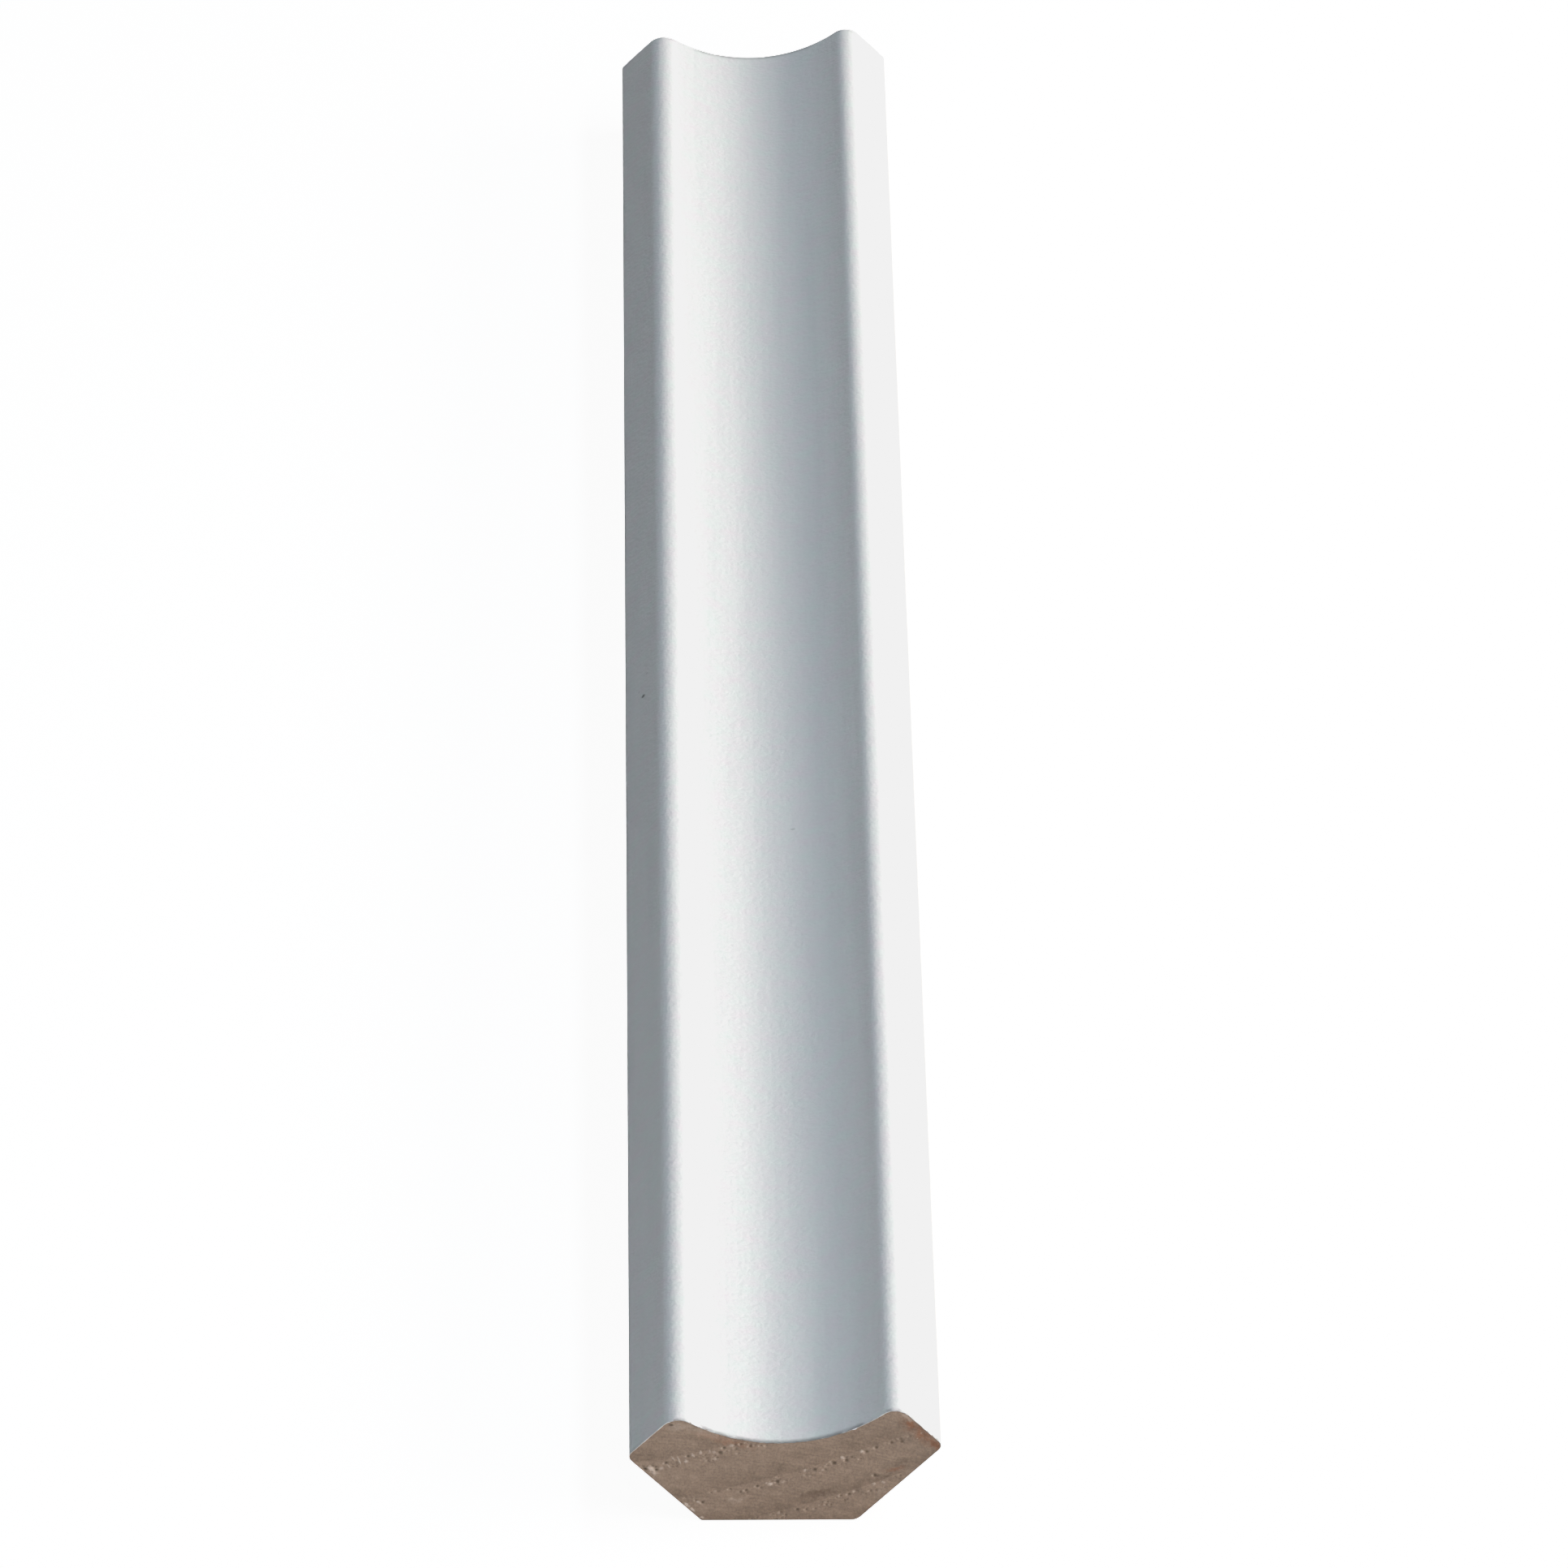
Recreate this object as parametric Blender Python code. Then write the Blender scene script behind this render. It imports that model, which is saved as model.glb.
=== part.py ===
# A length of crown moulding: a small sprung cove in white primed wood, one solid strip,
# cut square at both ends and lying on its flat back with the cove upwards.
#
# Metres, +Z up. The length runs along Y. The face for the wall is on the +X side and the
# face for the ceiling on the -X side. The origin is under the middle, in the plane of the back.
#
# Going round the section from the back: wall bevel, wall tip, wall front edge, wall nose, cove,
# ceiling nose, ceiling front edge, ceiling tip, ceiling bevel.

from math import acos, atan2, ceil, cos, pi, radians, sin, tan

import bmesh
import bpy
from mathutils import Vector

LENGTH = 0.457

# The back is the flat that bridges the corner of the room. The spring angle is between it and
# the wall, and the two bevels meet at a right angle behind it. Bevels are measured down the slope.
BACK_WIDTH = 0.0225
SPRING_ANGLE = radians(45.0)
WALL_BEVEL = 0.0177
CEILING_BEVEL = 0.0153

# The two narrow front edges stand square to their bevels, from tip to nose.
WALL_EDGE = 0.0097
CEILING_EDGE = 0.0100

# The cove is one arc through both noses, this deep below the line that joins them.
COVE_DEPTH = 0.0056

# Rounds and eased corners. The back corner on the wall side was sanded over, the other left crisp.
WALL_NOSE_RADIUS = 0.0029
CEILING_NOSE_RADIUS = 0.0033
WALL_TIP_RADIUS = 0.0010
CEILING_TIP_RADIUS = 0.0010
WALL_BACK_RADIUS = 0.0020
CEILING_BACK_RADIUS = 0.0005

# Furthest that a chord may stray from the arc it stands for
ARC_TOLERANCE = 0.000005

PRIMER_COLOUR = (0.80, 0.81, 0.82, 1.0)
PRIMER_ROUGHNESS = 0.42


def arc_points(centre, start, end):
    """Points along the shorter arc about centre, from start to end."""
    radius = (start - centre).length
    first = atan2(start.y - centre.y, start.x - centre.x)
    last = atan2(end.y - centre.y, end.x - centre.x)
    turn = (last - first + pi) % (2 * pi) - pi
    step = 2 * acos(max(0.0, 1 - ARC_TOLERANCE / radius))
    count = max(2, ceil(abs(turn) / step))
    angles = [first + turn * i / count for i in range(count + 1)]
    return [centre + Vector((cos(a), sin(a))) * radius for a in angles]


def eased_corner(before, corner, after, radius):
    """The round over a corner between two flat faces, no wider than half of either face."""
    back, ahead = before - corner, after - corner
    half = back.angle(ahead) / 2
    setback = min(radius / tan(half), back.length / 2, ahead.length / 2)
    back.normalize()
    ahead.normalize()
    centre = corner + (back + ahead).normalized() * setback / cos(half)
    return arc_points(centre, corner + back * setback, corner + ahead * setback)


def rounded_nose(corner, tip, nose, cove_centre, cove_radius, radius):
    """The round over a nose, from the front edge to the cove, touching both.

    The front edge runs from tip to nose, square to the bevel from corner to tip.
    """
    along = (nose - tip).normalized()
    inward = (corner - tip).normalized()
    # the largest round that leaves the lower half of the front edge flat
    middle = (tip + nose) / 2 - cove_centre
    widest = (middle.length_squared - cove_radius ** 2) / (2 * (cove_radius - middle.dot(inward)))
    radius = min(radius, widest)
    # its centre is one radius inside the edge and one radius outside the cove's circle
    level = tip + inward * radius - cove_centre
    reach = level.dot(along)
    travel = -reach - (reach ** 2 - level.length_squared + (cove_radius + radius) ** 2) ** 0.5
    centre = cove_centre + level + along * travel
    on_edge = centre - inward * radius
    on_cove = cove_centre + (centre - cove_centre).normalized() * cove_radius
    return arc_points(centre, on_edge, on_cove)


def section_outline():
    """The section anticlockwise from the ceiling end of the back, as (x, z) pairs centred in x."""
    ceiling_angle = pi / 2 - SPRING_ANGLE
    wall_slope = Vector((cos(SPRING_ANGLE), sin(SPRING_ANGLE)))
    ceiling_slope = Vector((-cos(ceiling_angle), sin(ceiling_angle)))

    wall_corner = Vector((BACK_WIDTH / 2, 0.0))
    ceiling_corner = Vector((-BACK_WIDTH / 2, 0.0))
    wall_tip = wall_corner + wall_slope * WALL_BEVEL
    ceiling_tip = ceiling_corner + ceiling_slope * CEILING_BEVEL
    wall_nose = wall_tip + Vector((-wall_slope.y, wall_slope.x)) * WALL_EDGE
    ceiling_nose = ceiling_tip + Vector((ceiling_slope.y, -ceiling_slope.x)) * CEILING_EDGE

    chord = wall_nose - ceiling_nose
    cove_radius = (chord.length_squared / 4 + COVE_DEPTH ** 2) / (2 * COVE_DEPTH)
    above = Vector((-chord.y, chord.x)).normalized()
    cove_centre = (wall_nose + ceiling_nose) / 2 + above * (cove_radius - COVE_DEPTH)

    wall_round = rounded_nose(wall_corner, wall_tip, wall_nose,
                              cove_centre, cove_radius, WALL_NOSE_RADIUS)
    ceiling_round = rounded_nose(ceiling_corner, ceiling_tip, ceiling_nose,
                                 cove_centre, cove_radius, CEILING_NOSE_RADIUS)
    cove = arc_points(cove_centre, wall_round[-1], ceiling_round[-1])

    outline = eased_corner(ceiling_tip, ceiling_corner, wall_corner, CEILING_BACK_RADIUS)
    outline += eased_corner(ceiling_corner, wall_corner, wall_tip, WALL_BACK_RADIUS)
    outline += eased_corner(wall_corner, wall_tip, wall_nose, WALL_TIP_RADIUS)
    outline += wall_round + cove[1:-1] + ceiling_round[::-1]
    outline += eased_corner(ceiling_nose, ceiling_tip, ceiling_corner, CEILING_TIP_RADIUS)

    middle = (min(p.x for p in outline) + max(p.x for p in outline)) / 2
    return [(p.x - middle, p.y) for p in outline]


def primed_wood():
    material = bpy.data.materials.new("primed_wood")
    material.use_nodes = True
    shader = material.node_tree.nodes["Principled BSDF"]
    shader.inputs["Base Color"].default_value = PRIMER_COLOUR
    shader.inputs["Roughness"].default_value = PRIMER_ROUGHNESS
    shader.inputs["Metallic"].default_value = 0.0
    return material


def crown_moulding():
    """The section, run straight from one square cut to the other."""
    shape = bmesh.new()
    near_cut = shape.faces.new([shape.verts.new((x, -LENGTH / 2, z)) for x, z in section_outline()])
    run = bmesh.ops.extrude_face_region(shape, geom=[near_cut])
    far_verts = [item for item in run["geom"] if isinstance(item, bmesh.types.BMVert)]
    bmesh.ops.translate(shape, verts=far_verts, vec=(0.0, LENGTH, 0.0))
    bmesh.ops.recalc_face_normals(shape, faces=shape.faces)

    mesh = bpy.data.meshes.new("crown_moulding")
    shape.to_mesh(mesh)
    shape.free()
    mesh.shade_smooth()
    mesh.set_sharp_from_angle(angle=radians(30.0))
    mesh.materials.append(primed_wood())
    moulding = bpy.data.objects.new("crown_moulding", mesh)
    bpy.context.scene.collection.objects.link(moulding)
    return moulding


for old in list(bpy.data.objects):
    bpy.data.objects.remove(old, do_unlink=True)

crown_moulding()
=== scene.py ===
import math

import bmesh
import bpy
from mathutils import Euler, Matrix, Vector


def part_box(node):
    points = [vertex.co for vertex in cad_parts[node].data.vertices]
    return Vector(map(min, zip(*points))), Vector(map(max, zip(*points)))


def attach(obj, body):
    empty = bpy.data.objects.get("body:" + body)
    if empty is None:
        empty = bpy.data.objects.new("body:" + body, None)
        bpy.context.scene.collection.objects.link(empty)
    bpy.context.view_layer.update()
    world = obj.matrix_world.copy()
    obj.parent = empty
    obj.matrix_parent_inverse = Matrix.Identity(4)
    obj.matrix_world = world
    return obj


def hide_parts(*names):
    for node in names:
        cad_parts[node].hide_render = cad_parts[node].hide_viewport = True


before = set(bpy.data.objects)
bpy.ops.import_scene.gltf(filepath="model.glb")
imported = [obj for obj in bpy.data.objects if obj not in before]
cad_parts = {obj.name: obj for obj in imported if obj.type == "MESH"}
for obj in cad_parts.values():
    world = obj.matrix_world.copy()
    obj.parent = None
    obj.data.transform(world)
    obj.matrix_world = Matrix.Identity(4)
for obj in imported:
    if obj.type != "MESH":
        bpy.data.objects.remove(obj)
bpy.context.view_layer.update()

cadLow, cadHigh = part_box("crown_moulding")
runLength = cadHigh.y - cadLow.y
mm = 0.001


# node helpers, the same for geometry and shader trees

def addNode(tree, kind, feeds=None, **settings):
    made = tree.nodes.new(kind)
    for name, value in settings.items():
        setattr(made, name, value)
    for socket, value in (feeds or {}).items():
        if isinstance(value, bpy.types.NodeSocket):
            tree.links.new(value, made.inputs[socket])
        else:
            made.inputs[socket].default_value = value
    return made


def calc(tree, operation, *values, clamp=False):
    made = addNode(tree, "ShaderNodeMath", dict(enumerate(values)), operation=operation, use_clamp=clamp)
    return made.outputs[0]


def times(tree, a, b, clamp=False):
    return calc(tree, "MULTIPLY", a, b, clamp=clamp)


def timesPlus(tree, value, factor, added, clamp=False):
    return calc(tree, "MULTIPLY_ADD", value, factor, added, clamp=clamp)


def inverted(tree, share):
    return calc(tree, "SUBTRACT", 1.0, share)


def centred(tree, share):
    # noise from nought to one then swings either side of nought
    return calc(tree, "SUBTRACT", share, 0.5)


def vectorCalc(tree, operation, *values):
    made = addNode(tree, "ShaderNodeVectorMath", dict(enumerate(values)), operation=operation)
    return made.outputs[1] if operation in ("LENGTH", "DISTANCE") else made.outputs[0]


def scaled(tree, vector, amount):
    return addNode(tree, "ShaderNodeVectorMath", {0: vector, 3: amount}, operation="SCALE").outputs[0]


def inMillimetres(tree, place):
    return scaled(tree, place, 1 / mm)


def combine(tree, x, y, z):
    return addNode(tree, "ShaderNodeCombineXYZ", {0: x, 1: y, 2: z}).outputs[0]


def separate(tree, vector):
    return addNode(tree, "ShaderNodeSeparateXYZ", {0: vector}).outputs


def vectorBlend(tree, share, a, b):
    return addNode(tree, "ShaderNodeMix", {0: share, 4: a, 5: b}, data_type="VECTOR").outputs[1]


def colourBlend(tree, share, a, b):
    return addNode(tree, "ShaderNodeMix", {0: share, 6: a, 7: b}, data_type="RGBA").outputs[2]


def tinted(tree, colour, tint):
    feeds = {0: 1.0, 6: colour, 7: tint}
    return addNode(tree, "ShaderNodeMix", feeds, data_type="RGBA", blend_type="MULTIPLY").outputs[2]


def toned(tree, colour, tone):
    # lighter or darker by one factor
    return tinted(tree, colour, combine(tree, tone, tone, tone))


def ramp(tree, value, low, high, shape="SMOOTHSTEP"):
    # nought at low, one at high
    feeds = {"Value": value, "From Min": low, "From Max": high, "To Min": 0.0, "To Max": 1.0}
    return addNode(tree, "ShaderNodeMapRange", feeds, interpolation_type=shape).outputs[0]


def noise(tree, vector, scale, detail=2.0, roughness=0.5, dimensions="3D"):
    feeds = {"Vector": vector, "Scale": scale, "Detail": detail, "Roughness": roughness}
    return addNode(tree, "ShaderNodeTexNoise", feeds, noise_dimensions=dimensions).outputs[0]


def jostled(tree, spot, scale, reach, dimensions="3D"):
    # the spot pushed about by noise, up to half the reach each way
    feeds = {"Vector": spot, "Scale": scale, "Detail": 2.0}
    push = addNode(tree, "ShaderNodeTexNoise", feeds, noise_dimensions=dimensions).outputs["Color"]
    push = vectorCalc(tree, "SUBTRACT", push, (0.5, 0.5, 0.5))
    return vectorCalc(tree, "ADD", spot, scaled(tree, push, reach))


# the wood, in millimetres; rings are counted outwards from a pith far up to the left of the strip
woodValues = {
    "pith": (-44.2, 149.0),
    "zeroRing": 148.1,        # distance from the pith to the row of pores counted as nought
    "ringsPerMm": 0.160,
    "ringsTighten": 0.0022,
    "ringWobble": 0.07,
    "wobbleScale": 0.16,
    "grainLean": 0.006,       # sideways run-out for each mm of length
    "wanderScale": 0.022,
    "wanderFrom": 60.0,       # the grain's wander sets in over this much of the near end
    "wanderLift": 0.5,        # up and down, against its sideways share
    "poreCell": 0.72,
    "poreRadius": 0.32,
    "poreBand": 0.24,         # share of a ring that holds the large pores
    "poreShare": 0.55,        # share of the cells there that hold one
    "groupScale": 0.42,
    "groupPull": 2.4,         # how much they keep to loose groups
    "poreInner": 0.20,        # flat middle of a pore, as a share of its radius
    "finePoreCell": 0.34,
    "finePoreRadius": 0.06,
    "finePoreShare": 0.40,
    "finePoreShift": 31.0,    # so that the fine cells don't follow the large ones

    "wood": (0.275, 0.196, 0.144, 1.0),
    "latewood": (0.166, 0.113, 0.079, 1.0),
    "stain": (0.238, 0.113, 0.064, 1.0),
    # the dark of pores and vessels, partly painted shade in their open holes
    "pore": (0.092, 0.062, 0.041, 1.0),
    # pale primer dust, and the painted highlight on the lit rims of the vessels
    "paleDustAndHighlight": (0.550, 0.430, 0.345, 1.0),

    # how strongly each mark shows, from 0 to 1
    "bandStrength": 0.9,
    "finePoreStrength": 0.30,
    "rimHighlightStrength": 0.55,
    "poreStrength": 0.50,
    "vesselStrength": 0.88,

    # noise scales: the larger, the finer
    "patchWarpScale": 0.9,
    "comeAndGoScale": 0.03,
    "blotchScale": 0.24,
    "brokenScale": 1.1,
    "fibreScale": 2.6,
    "mottleScale": 0.8,

    "patchWarp": 1.6,         # how far the soft patches are pulled out of shape
    "ceilingPaler": 0.0028,   # for each mm towards the ceiling side
    "rimHighlightBeside": (0.38, 0.08, 0.0),   # from the painted highlight on a vessel's lit left rim to its mouth
    "rimHighlightRadius": 0.30,
    "vesselRadius": 0.38,
    "fineRelief": 0.02,       # of the fibres and the fine pores
    "poreRelief": 0.05,

    # the widest open vessels on the near cut, as (x, z)
    "openVessels": [
        (-20.2, 8.7), (-18.6, 8.5), (-17.2, 9.7), (-14.0, 10.8), (-9.4, 11.4), (-8.8, 12.2),
        (-6.4, 12.8), (-5.0, 12.5), (-11.9, 3.0), (-5.6, 5.0), (-4.0, 5.7), (-1.1, 6.4),
        (4.3, 8.5), (7.1, 9.6), (8.9, 10.1), (11.8, 11.5), (13.2, 12.2), (15.4, 13.0),
        (16.9, 13.2), (1.8, 1.7), (9.3, 4.3), (13.0, 7.5),
    ],
    # soft patches through the wood: x, z, half length, half height, slope in degrees, strength
    "stains": [
        (19.4, 14.8, 4.8, 1.8, -43, 0.72), (18.3, 15.9, 1.8, 1.0, -43, 1.0),
        (21.6, 12.8, 1.8, 1.3, -30, 1.0), (15.9, 8.5, 2.2, 0.6, 12, 0.65),
        (-9.0, 13.6, 6.5, 1.0, -17, 0.60), (12.6, 1.6, 1.8, 0.8, 40, 0.45),
    ],
    "darkBands": [
        (4.6, 4.4, 4.8, 1.1, 17, 1.0), (6.4, 4.9, 2.2, 0.8, 6, 0.8),
        (17.2, 9.8, 3.2, 0.8, 24, 0.55), (-19.0, 10.6, 3.6, 1.3, 8, 0.35),
        (-2.0, 3.8, 6.0, 0.9, 4, 0.30), (3.5, 11.4, 6.5, 1.6, 14, 0.28),
    ],
    # places dusted with primer
    "pale": [
        (-11.6, 14.9, 6.0, 1.4, -20, 0.26), (-15.6, 15.8, 2.2, 1.2, 0, 0.30),
        (-19.0, 8.4, 1.1, 0.6, -40, 0.65), (-7.2, 3.4, 1.5, 0.6, 5, 0.25),
        (17.6, 17.6, 1.6, 0.7, -35, 0.45), (13.9, 4.6, 1.6, 0.8, 42, 0.20),
    ],
}


# wood pattern, shared by the mesh relief and the shaders so that pits and dark pores coincide

def sectionPlace(tree, place):
    # where on the cut section a point's fibres come out, in mm; the grain leans and wanders a little
    x, y, z = separate(tree, inMillimetres(tree, place))
    fromNear = calc(tree, "SUBTRACT", y, cadLow.y / mm)
    wander = noise(tree, combine(tree, 0.0, y, 0.0), woodValues["wanderScale"], detail=1.0)
    drift = times(tree, fromNear, woodValues["grainLean"])
    swing = times(tree, centred(tree, wander), ramp(tree, fromNear, 0.0, woodValues["wanderFrom"]))
    leaned = calc(tree, "ADD", x, calc(tree, "ADD", drift, swing))
    lifted = calc(tree, "ADD", z, times(tree, swing, woodValues["wanderLift"]))
    return combine(tree, leaned, lifted, 0.0)


def ringCount(tree, spot):
    # rings outwards from the zero ring; whole numbers fall on the rows of large pores
    pithX, pithZ = woodValues["pith"]
    reach = vectorCalc(tree, "DISTANCE", spot, (pithX, pithZ, 0.0))
    reach = calc(tree, "SUBTRACT", reach, woodValues["zeroRing"])
    bent = timesPlus(tree, reach, woodValues["ringsTighten"], woodValues["ringsPerMm"])
    count = times(tree, reach, bent)
    wobble = noise(tree, spot, woodValues["wobbleScale"], detail=1.5, dimensions="2D")
    return timesPlus(tree, centred(tree, wobble), woodValues["ringWobble"], count)


def poreCells(tree, spot, cell, shift):
    # scattered cells of about this size: distance from the cell's centre, the centre, random picks
    offset = (shift, shift * 1.7, 0.0)
    moved = vectorCalc(tree, "ADD", scaled(tree, spot, 1 / cell), offset)
    feeds = {"Vector": moved, "Scale": 1.0, "Randomness": 0.9}
    cells = addNode(tree, "ShaderNodeTexVoronoi", feeds, voronoi_dimensions="2D", feature="F1")
    centre = vectorCalc(tree, "SUBTRACT", cells.outputs["Position"], offset)
    picks = separate(tree, cells.outputs["Color"])
    return cells.outputs["Distance"], scaled(tree, centre, cell), picks


def roundSpot(tree, distance, cell, radius, inner=0.45):
    # one inside the spot, falling to nought over its rim
    away = times(tree, distance, cell)
    return ramp(tree, away, radius, times(tree, radius, inner))


def largePores(tree, spot, wider=1.0):
    # round vessels in loose groups along each ring; returns their mask
    values = woodValues
    cell = values["poreCell"]
    distance, centre, picks = poreCells(tree, spot, cell, 0.0)
    phase = calc(tree, "FRACT", ringCount(tree, centre))
    inBand = calc(tree, "LESS_THAN", phase, values["poreBand"])
    group = noise(tree, centre, values["groupScale"], detail=1.0, dimensions="2D")
    odds = timesPlus(tree, centred(tree, group), values["groupPull"], values["poreShare"])
    picked = calc(tree, "LESS_THAN", picks[0], odds)
    size = values["poreRadius"] * wider
    radius = timesPlus(tree, picks[1], size * 0.7, size * 0.4)
    # each vessel is filled or open to its own degree
    spotMask = roundSpot(tree, distance, cell, radius, values["poreInner"] / wider)
    spotMask = times(tree, spotMask, timesPlus(tree, picks[2], 0.6, 0.4))
    return times(tree, spotMask, times(tree, inBand, picked))


def openVessels(tree, spot, radius, inner=0.0):
    # one in the mouth of each listed vessel, nought beyond the radius
    nearest = 99.0
    for x, z in woodValues["openVessels"]:
        nearest = calc(tree, "MINIMUM", nearest, vectorCalc(tree, "DISTANCE", spot, (x, z, 0.0)))
    return ramp(tree, nearest, radius, radius * inner)


def softPatches(tree, spot, patches, inner=0.2):
    # leaning ellipses with soft edges: x, y, half length, half height, slope in degrees, strength
    strongest = None
    for x, y, halfLong, halfShort, slope, strength in patches:
        level = addNode(tree, "ShaderNodeMapping", {
            "Vector": spot, "Location": (x, y, 0.0), "Rotation": (0.0, 0.0, math.radians(slope)),
            "Scale": (halfLong, halfShort, 1.0)}, vector_type="TEXTURE").outputs[0]
        away = vectorCalc(tree, "LENGTH", level)
        feeds = {"Value": away, "From Min": 1.0, "From Max": inner, "To Max": strength}
        patch = addNode(tree, "ShaderNodeMapRange", feeds, interpolation_type="SMOOTHSTEP").outputs[0]
        strongest = patch if strongest is None else calc(tree, "MAXIMUM", strongest, patch)
    return strongest


# the circular blade that left its arcs on the cuts, in millimetres
sawValues = {
    "centre": (-30.0, -150.0),
    "coarseArcs": (0.07, 0.9),     # how often they change, along an arc and from arc to arc
    "fineArcs": (0.30, 3.6),
    "fineShare": 0.55,
}


def sawMarks(tree, place):
    # shallow arcs across the cut, from 0 to 1
    values = sawValues
    x, y, z = separate(tree, inMillimetres(tree, place))
    centreX, centreZ = values["centre"]
    fromCentre = combine(tree, calc(tree, "SUBTRACT", x, centreX), calc(tree, "SUBTRACT", z, centreZ), 0.0)
    radius = vectorCalc(tree, "LENGTH", fromCentre)

    def arcs(alongArc, arcToArc):
        return noise(tree, combine(tree, times(tree, x, alongArc), times(tree, radius, arcToArc), y), 1.0)

    coarse = arcs(*values["coarseArcs"])
    fine = arcs(*values["fineArcs"])
    return timesPlus(tree, fine, values["fineShare"], times(tree, coarse, 1 - values["fineShare"]))


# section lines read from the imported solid

def sectionLoop(node):
    # the near cut's outline as (x, z) pairs, anticlockwise from -Y, walked edge by edge
    facesAway = -0.9
    shape = bmesh.new()
    shape.from_mesh(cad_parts[node].data)
    bmesh.ops.remove_doubles(shape, verts=shape.verts, dist=1e-6)
    nextPoint = {}
    for face in shape.faces:
        if face.normal.y > facesAway:
            continue
        for loop in face.loops:
            partner = loop.link_loop_radial_next.face
            if partner.normal.y > facesAway:
                nextPoint[loop.vert.index] = loop.link_loop_next.vert.index
    shape.verts.ensure_lookup_table()
    start = min(nextPoint)
    walked = [start]
    while nextPoint[walked[-1]] != start:
        walked.append(nextPoint[walked[-1]])
    points = [(shape.verts[i].co.x, shape.verts[i].co.z) for i in walked]
    shape.free()
    return points


def fourSides(loop):
    # back, wall bevel, face and ceiling bevel, split where the loop reaches furthest to each corner
    lean = math.radians(22.5)
    backLeft = (-math.sin(lean), -math.cos(lean))
    backRight = (math.sin(lean), -math.cos(lean))
    rightTip = (1.0, 0.0)
    leftTip = (-1.0, 0.0)

    def furthest(dx, dz):
        return max(range(len(loop)), key=lambda i: loop[i][0] * dx + loop[i][1] * dz)

    corners = [furthest(*towards) for towards in (backLeft, backRight, rightTip, leftTip)]
    sides = []
    for a, b in zip(corners, corners[1:] + corners[:1]):
        count = (b - a) % len(loop)
        sides.append([loop[(a + i) % len(loop)] for i in range(count + 1)])
    back, wallBevel, face, ceilingBevel = sides
    return {"back": back, "face": face[::-1], "ceilingBevel": ceilingBevel[::-1], "wallBevel": wallBevel}


def sectionLines(sides):
    # one curve object with a spline for each side, each running left to right or from the back up
    curve = bpy.data.curves.new("sectionLines", "CURVE")
    curve.dimensions = "3D"
    for name in ("back", "face", "ceilingBevel", "wallBevel"):
        spline = curve.splines.new("POLY")
        spline.points.add(len(sides[name]) - 1)
        for point, (x, z) in zip(spline.points, sides[name]):
            point.co = (x, 0.0, z, 1.0)
    lines = bpy.data.objects.new("sectionLines", curve)
    bpy.context.scene.collection.objects.link(lines)
    return lines


# the strip itself: how finely it is meshed, and how rough its two saw cuts are
mouldingValues = {
    "acrossFace": 300,        # vertices from tip to tip
    "throughStrip": 112,      # vertices from the back up to the face
    "stations": 42,           # sections along the length
    "crowding": 3.0,          # how hard the stations crowd towards the cuts
    "woodRecess": 0.05 * mm,  # sawn wood sits this far behind the edge of the primer
    "poreDepth": 0.08 * mm,
    "sawDepth": 0.03 * mm,
    "arrisWear": 0.07 * mm,   # deepest nick in the painted arris
    "arrisReach": 0.35 * mm,  # how far the nicks run in from the cut
    "nickScale": 900.0,
    "poresWider": 1.7,        # a pit is wider than the dark mouth in it
    "vesselPit": 0.45,        # radius in mm of the pit round an open vessel
    "vesselPitFloor": 0.10,   # share of that radius at full depth
}


# geometry nodes: a block of cells is pressed into the section and run out to the length

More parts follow.
